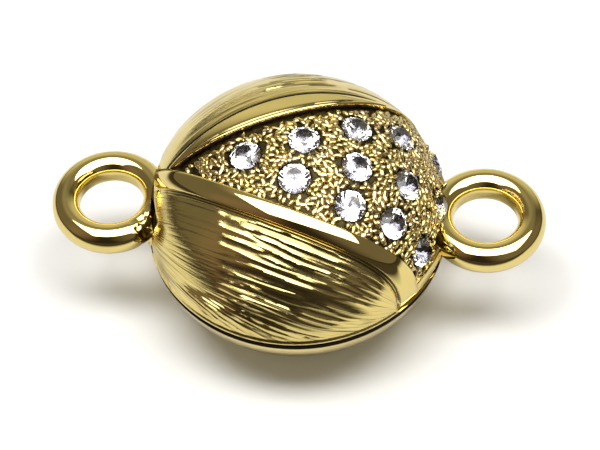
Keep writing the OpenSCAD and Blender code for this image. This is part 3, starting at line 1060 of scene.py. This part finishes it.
def grain(tree, given, subdivisions):
    """A round grain that stores painted shade, as a share of recess, on its lower part."""
    inputs = {"Radius": given["Radius"], "Subdivisions": subdivisions}
    ball = add_node(tree, "GeometryNodeMeshIcoSphere", inputs)
    place = add_node(tree, "GeometryNodeInputPosition").outputs["Position"]
    height = add_node(tree, "ShaderNodeSeparateXYZ", {"Vector": place}).outputs["Z"]
    # Painted shade: the lower part of each grain darkens
    low = remap(tree, calculate(tree, "DIVIDE", height, given["Radius"]), *GRAIN_SHADE)
    inputs = {"Geometry": ball.outputs["Mesh"], "Name": "recess", "Value": low}
    keep = add_node(tree, "GeometryNodeStoreNamedAttribute", inputs, data_type="FLOAT", domain="POINT")
    return keep.outputs["Geometry"]


def cast_grains(tree, given, results, places, amount):
    """Sets grains on places, makes them real, roughens and smooths them and gives them their material."""
    placed = add_node(tree, "GeometryNodeInstanceOnPoints", places).outputs["Instances"]
    real = add_node(tree, "GeometryNodeRealizeInstances", {"Geometry": placed}).outputs["Geometry"]
    where = add_node(tree, "GeometryNodeInputPosition").outputs["Position"]
    lumps = {0: noise(tree, where, LUMP_SCALE, 1.0)["Color"], 1: (0.5, 0.5, 0.5)}
    centred = add_node(tree, "ShaderNodeVectorMath", lumps, operation="SUBTRACT").outputs["Vector"]
    scaled = add_node(tree, "ShaderNodeVectorMath", {0: centred, "Scale": amount}, operation="SCALE")
    moved = add_node(tree, "GeometryNodeSetPosition", {"Geometry": real, "Offset": scaled.outputs["Vector"]})
    smooth = add_node(tree, "GeometryNodeSetShadeSmooth", {"Geometry": moved.outputs["Geometry"]})
    inputs = {"Geometry": smooth.outputs["Geometry"], "Material": given["Material"]}
    feed(results, {0: add_node(tree, "GeometryNodeSetMaterial", inputs).outputs["Geometry"]})


def nugget_tree():
    """Geometry nodes that scatter lumpy nuggets over the field's floor."""
    inputs = (
        ("Floor", "Geometry"),
        ("Spacing", "Float"),
        ("Radius", "Float"),
        ("Seed", "Int"),
        ("Material", "Material"),
    )
    outputs = (("Nuggets", "Geometry"),)
    tree, given, results = new_tree("Scattered nuggets", "GeometryNodeTree", inputs, outputs)
    seed = {"Seed": given["Seed"]}
    free = add_node(tree, "GeometryNodeInputNamedAttribute", {"Name": "free_floor"}, data_type="FLOAT")
    inputs = {
        "Mesh": given["Floor"],
        "Distance Min": given["Spacing"],
        "Density Max": MOST_PER_AREA,
        "Density Factor": free.outputs["Attribute"],
        **seed,
    }
    scatter = add_node(tree, "GeometryNodeDistributePointsOnFaces", inputs, distribute_method="POISSON")
    inputs = {2: 0.0, 3: 2 * math.pi, **seed}
    spin = add_node(tree, "FunctionNodeRandomValue", inputs, data_type="FLOAT").outputs[1]
    twist = add_node(tree, "FunctionNodeAxisAngleToRotation", {"Axis": (0, 0, 1), "Angle": spin})
    inputs = {"Rotation": scatter.outputs["Rotation"], "Rotate By": twist.outputs["Rotation"]}
    turn = add_node(tree, "FunctionNodeRotateRotation", inputs, rotation_space="LOCAL")
    inputs = {0: LEAST_NUGGET, 1: MOST_NUGGET, **seed}
    grow = add_node(tree, "FunctionNodeRandomValue", inputs, data_type="FLOAT_VECTOR").outputs[0]
    places = {
        "Points": scatter.outputs["Points"],
        "Instance": grain(tree, given, subdivisions=2),
        "Rotation": turn.outputs["Rotation"],
        "Scale": grow,
    }
    cast_grains(tree, given, results, places, NUGGET_LUMPS)
    return tree


def claw_tree():
    """Geometry nodes that set a small grain on each point, upright on the field."""
    inputs = ("Places", "Geometry"), ("Radius", "Float"), ("Material", "Material")
    tree, given, results = new_tree("Stone claws", "GeometryNodeTree", inputs, (("Claws", "Geometry"),))
    inputs = {"Name": "upright"}
    upright = add_node(tree, "GeometryNodeInputNamedAttribute", inputs, data_type="FLOAT_VECTOR")
    inputs = {"Vector": upright.outputs["Attribute"]}
    stand = add_node(tree, "FunctionNodeAlignRotationToVector", inputs, axis="Z").outputs["Rotation"]
    claw = grain(tree, given, subdivisions=3)
    places = {"Points": given["Places"], "Instance": claw, "Rotation": stand}
    cast_grains(tree, given, results, places, CLAW_LUMPS)
    return tree


def claw_places(form):
    """Points on the field round each stone, with the field's upright direction at each."""
    s = form.sizes
    origin = np.array([0.0, 0.0, form.seam])
    spots = []
    for centre, axis, radius in stone_places():
        outward = np.array([centre[0], centre[1], 0.0])
        outward = outward - axis * (outward @ axis)
        outward = outward / np.linalg.norm(outward)
        aside = np.cross(axis, outward)
        reach = radius + s.seat_gap + s.claw_radius
        for k in range(s.claws_per_stone):
            turn = math.radians(CLAW_TURN) + 2 * math.pi * k / s.claws_per_stone
            spots.append(centre + reach * (math.cos(turn) * outward + math.sin(turn) * aside))
    on_body = form.surface(origin, unit(np.array(spots) - origin))
    upright = form.outward(on_body)
    mesh = plain_mesh("claw_places", on_body - upright * (s.field_depth - CLAW_SINK * s.claw_radius), [])
    store(mesh, "upright", "FLOAT_VECTOR", upright)
    return place_object("claw_places", mesh)


def field_floor(form):
    """A plain sheet over the field's floor, with the share of free floor at each point."""
    s = form.sizes
    stations = np.linspace(*FLOOR_SPAN, FLOOR_STATIONS)
    turns, regions, shares, _ = pattern_rows(form, stations)
    field = np.array(regions) == "field"
    turns, shares = turns[field], shares[field][:, None]
    points = form.surface(form.middle, fan_directions(stations[None, :], turns))
    points = points - form.outward(points) * s.field_depth
    width = (turns[-1] - turns[0]) * s.body_radius
    free = (shares * width > FRONT_MARGIN) & ((1 - shares) * width > BACK_MARGIN) & (width > LEAST_FIELD)
    ring_edge = s.ring_radius + s.wire_width / 2 + RING_MARGIN
    by_ring = np.hypot(points[..., 0] - form.ring_reach, points[..., 1]) < ring_edge
    free &= ~(by_ring & (points[..., 2] < form.waist + s.wire_height / 2 + 0.5 * RING_MARGIN))
    for centre, axis, radius in stone_places():
        away = points - centre
        flat = away - (away @ axis)[..., None] * axis
        clear = radius + s.seat_gap + STONE_MARGIN
        free &= (np.linalg.norm(flat, axis=-1) > clear) | (away @ axis < -2 * radius)
    mesh = plain_mesh("field_floor", points.reshape(-1, 3), grid_faces(len(turns), len(stations)))
    store(mesh, "free_floor", "FLOAT", free)
    return place_object("field_floor", mesh)


def grown(source, tree, name, material, values):
    """The plain result of a node tree on a source object, which is removed, in one material."""
    modifier = source.modifiers.new(name, "NODES")
    modifier.node_group = tree
    values = {**values, "Material": material}
    for item in tree.interface.items_tree:
        if item.in_out == "INPUT" and item.name in values:
            modifier[item.identifier] = values.pop(item.name)
    if values:
        raise RuntimeError(f"The node tree has no input named {', '.join(values)}")
    graph = bpy.context.evaluated_depsgraph_get()
    evaluated = source.evaluated_get(graph)
    mesh = bpy.data.meshes.new_from_object(evaluated, preserve_all_data_layers=True, depsgraph=graph)
    mesh.name = name
    if not mesh.polygons:
        raise RuntimeError(f"{name} came out empty")
    mesh.materials.clear()
    mesh.materials.append(material)
    mesh.polygons.foreach_set("material_index", np.zeros(len(mesh.polygons), np.int32))
    result = place_object(name, mesh)
    bpy.data.objects.remove(source)
    return result


class ClaspNuggets(Operator):
    """Scatters the nuggets and sets the claws over the sunk field"""

    bl_idname = "clasp.nuggets"
    bl_label = "Field Nuggets and Claws"

    def execute(self, context):
        s = context.scene.clasp_sizes
        form = BodyForm(s)
        gold = finishes(context)["Field gold"]
        values = {"Spacing": s.nugget_spacing, "Radius": s.nugget_radius, "Seed": NUGGET_SEED}
        nuggets = grown(field_floor(form), nugget_tree(), "field_nuggets", gold, values)
        claws = grown(claw_places(form), claw_tree(), "stone_claws", gold, {"Radius": s.claw_radius})
        nuggets = join("field_nuggets", [nuggets, claws])
        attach(nuggets, "upper")
        return {"FINISHED"}


# Stones and magnets


class ClaspStones(Operator):
    """Gives the set stones their crystal and the magnets their plating"""

    bl_idname = "clasp.stones"
    bl_label = "Stones and Magnets"

    def execute(self, context):
        looks = finishes(context)
        for name in STONES:
            dress(frame["nodes"][name], looks["Crystal"])
        for name in ("lower_magnet", "upper_magnet"):
            dress(frame["nodes"][name], looks["Nickel plate"])
        return {"FINISHED"}


def dress(obj, material):
    """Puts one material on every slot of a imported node."""
    if not obj.material_slots:
        obj.data.materials.append(material)
    for slot in obj.material_slots:
        slot.material = material


# Studio and camera

FLOOR_REACH = 0.6
# Painted shade on the floor that reflections alone see: its reaches in front and to the sides, its least
# share, and its tone
REFLECTED_SHADE_FRONT, REFLECTED_SHADE_SIDE, LEAST_REFLECTED_SHADE = (-0.0065, -0.0155), (0.016, 0.060), 0.2
REFLECTED_SHADE_TONE, ROOM_TONE = (0.05, 0.042, 0.036, 1), (0.03, 0.024, 0.021)
FILL_TONE, BACKDROP_TONE = (0.26, 0.25, 0.23, 1), (0.93, 0.93, 0.92, 1)
CAMERA_DIRECTION, CAMERA_ROLL = (7.0, 53.5), 2.8
CAMERA_DISTANCE, PIXELS_PER_METRE = 0.09, 24700.0
PICTURE_WIDTH, SENSOR = 600.0, 36.0
CAMERA_SHIFT = (2.0, -4.5)

# What the metal mirrors: where each soft card stands, its full and outer angle, and its tone
REFLECTED_CARDS = (
    ((180.0, 5.0), 20.0, 50.0, (0.62, 0.61, 0.50)),
    ((-100.0, 25.0), 30.0, 75.0, (0.14, 0.125, 0.105)),
    ((75.0, 25.0), 25.0, 70.0, (0.15, 0.13, 0.11)),
    ((180.0, 75.0), 15.0, 45.0, (0.20, 0.19, 0.16)),
    ((-48.0, 22.0), 8.0, 34.0, (0.07, 0.03, 0.022)),
)


def direction(azimuth, elevation):
    """Unit vector given in degrees: azimuth from the front to the right, elevation upwards."""
    a, e = math.radians(azimuth), math.radians(elevation)
    return Vector((math.sin(a) * math.cos(e), -math.cos(a) * math.cos(e), math.sin(e)))


class ClaspStudio(Operator):
    """Sets the pale floor, the studio light and the camera"""

    bl_idname = "clasp.studio"
    bl_label = "Studio"

    def execute(self, context):
        form = BodyForm(context.scene.clasp_sizes)
        self.floor(context.scene.clasp_finish)
        mirrored = {"distance": 0.25, "size": (0.41, 0.28), "aside": 0.041, "watts": 1.6}
        overhead = {"distance": 0.30, "size": (0.30, 0.11), "aside": 0.0, "watts": 1.1}
        self.softbox("mirror_softbox", form, (8.0, 79.0), hidden_from="diffuse", **mirrored)
        self.softbox("overhead_softbox", form, (0.0, 88.0), hidden_from="glossy", **overhead)
        self.world(context)
        self.camera(context, form)
        context.scene.view_settings.view_transform = "Standard"
        return {"FINISHED"}

    def floor(self, look):
        """Pale paper that runs out of sight, with painted shade that only reflections see: darker in front
        of the clasp and far to the sides, and a little darker everywhere.
        """
        values = {"Base Color": (*look.floor, 1), "Roughness": 0.9, "Specular IOR Level": 0.1}
        material, tree, shader = new_material("Paper floor", values)
        place = add_node(tree, "ShaderNodeTexCoord").outputs["Object"]
        split = add_node(tree, "ShaderNodeSeparateXYZ", {"Vector": place}).outputs
        # Painted shade seen in reflections only: darker in front and far to the sides
        front = remap(tree, split["Y"], *REFLECTED_SHADE_FRONT, kind="SMOOTHSTEP")
        side = remap(tree, calculate(tree, "ABSOLUTE", split["X"]), *REFLECTED_SHADE_SIDE, kind="SMOOTHSTEP")
        shade = calculate(tree, "MAXIMUM", calculate(tree, "MAXIMUM", front, side), LEAST_REFLECTED_SHADE)
        mirrored = add_node(tree, "ShaderNodeLightPath").outputs["Is Glossy Ray"]
        reflected_shade = add_node(tree, "ShaderNodeBsdfDiffuse", {"Color": REFLECTED_SHADE_TONE})
        inputs = {
            "Fac": calculate(tree, "MULTIPLY", shade, mirrored),
            1: shader.outputs["BSDF"],
            2: reflected_shade.outputs["BSDF"],
        }
        both = add_node(tree, "ShaderNodeMixShader", inputs).outputs["Shader"]
        feed(tree.nodes["Material Output"], {"Surface": both})
        r = FLOOR_REACH
        mesh = plain_mesh("studio_floor", [(-r, -r, 0), (r, -r, 0), (r, r, 0), (-r, r, 0)], [(0, 1, 2, 3)])
        mesh.materials.append(material)
        place_object("studio_floor", mesh)

    def softbox(self, name, form, place, distance, size, aside, watts, hidden_from):
        """A rectangular light that faces the clasp and is left out of one kind of ray."""
        data = bpy.data.lights.new(name, "AREA")
        data.shape = "RECTANGLE"
        data.size, data.size_y = size
        data.energy = watts
        light = place_object(name, data)
        away = direction(*place)
        turn = math.radians(place[0])
        level = Vector((math.cos(turn), math.sin(turn), 0))
        light.location = Vector((0, 0, form.waist)) + away * distance + level * aside
        light.rotation_mode = "QUATERNION"
        light.rotation_quaternion = away.to_track_quat("Z", "Y")
        light.visible_camera = False
        if hidden_from == "diffuse":
            light.visible_diffuse = False
        else:
            light.visible_glossy = light.visible_transmission = False

    def world(self, context):
        """A pale surround for the camera, and soft cards at the back and sides for reflections."""
        world = bpy.data.worlds.new("studio_room")
        world.use_nodes = True
        context.scene.world = world
        tree = world.node_tree
        place = add_node(tree, "ShaderNodeTexCoord").outputs["Generated"]
        room = ROOM_TONE
        for towards, inner, outer, tone in REFLECTED_CARDS:
            inputs = {0: place, 1: direction(*towards)}
            lobe = add_node(tree, "ShaderNodeVectorMath", inputs, operation="DOT_PRODUCT").outputs["Value"]
            edge, full = (math.cos(math.radians(angle)) for angle in (outer, inner))
            share = remap(tree, lobe, edge, full, kind="SMOOTHSTEP")
            card = add_node(tree, "ShaderNodeVectorMath", {0: tone, "Scale": share}, operation="SCALE")
            inputs = {0: room, 1: card.outputs["Vector"]}
            room = add_node(tree, "ShaderNodeVectorMath", inputs, operation="ADD").outputs["Vector"]
        path = add_node(tree, "ShaderNodeLightPath").outputs
        lit = mixed(tree, path["Is Diffuse Ray"], room, FILL_TONE)
        seen = mixed(tree, path["Is Camera Ray"], lit, BACKDROP_TONE)
        feed(tree.nodes["Background"], {"Color": seen})

    def camera(self, context, form):
        """The photograph's view: a long lens, a little roll and a small shift."""
        data = bpy.data.cameras.new("photo_camera")
        data.sensor_width = SENSOR
        data.lens = PIXELS_PER_METRE * CAMERA_DISTANCE * SENSOR / PICTURE_WIDTH
        data.shift_x, data.shift_y = (pixels / PICTURE_WIDTH for pixels in CAMERA_SHIFT)
        data.clip_start, data.clip_end = 0.005, 10.0
        camera = place_object("photo_camera", data)
        away = direction(*CAMERA_DIRECTION)
        camera.location = Vector((0, 0, form.seam)) + away * CAMERA_DISTANCE
        camera.rotation_mode = "QUATERNION"
        roll = Matrix.Rotation(-math.radians(CAMERA_ROLL), 3, "Z").to_quaternion()
        camera.rotation_quaternion = away.to_track_quat("Z", "Y") @ roll
        context.scene.camera = camera


class ClaspPanel(Panel):
    """Lists the clasp's pieces and sizes."""

    bl_idname = "CLASP_PT_builder"
    bl_label = "Ball Clasp"
    bl_space_type = "VIEW_3D"
    bl_region_type = "UI"
    bl_category = "Clasp"

    def draw(self, context):
        column = self.layout.column(align=True)
        for operator in OPERATORS:
            column.operator(operator.bl_idname)
        for group in (context.scene.clasp_sizes, context.scene.clasp_finish):
            for name in group.__annotations__:
                column.prop(group, name)


OPERATORS = (ClaspStudio, ClaspUpperCasting, ClaspNuggets, ClaspLowerCasting, ClaspStones)
CLASSES = (ClaspSizes, ClaspFinish, *OPERATORS, ClaspPanel)


def register():
    """Registers the classes and the scene's settings."""
    for cls in CLASSES:
        bpy.utils.register_class(cls)
    bpy.types.Scene.clasp_sizes = PointerProperty(type=ClaspSizes)
    bpy.types.Scene.clasp_finish = PointerProperty(type=ClaspFinish)


def unregister():
    """Removes the scene's settings and the classes."""
    del bpy.types.Scene.clasp_sizes
    del bpy.types.Scene.clasp_finish
    for cls in reversed(CLASSES):
        bpy.utils.unregister_class(cls)


def main():
    """Builds every piece in order."""
    register()
    bpy.ops.clasp.studio()
    bpy.ops.clasp.upper_casting()
    bpy.ops.clasp.nuggets()
    bpy.ops.clasp.lower_casting()
    bpy.ops.clasp.stones()


if __name__ == "__main__":
    main()
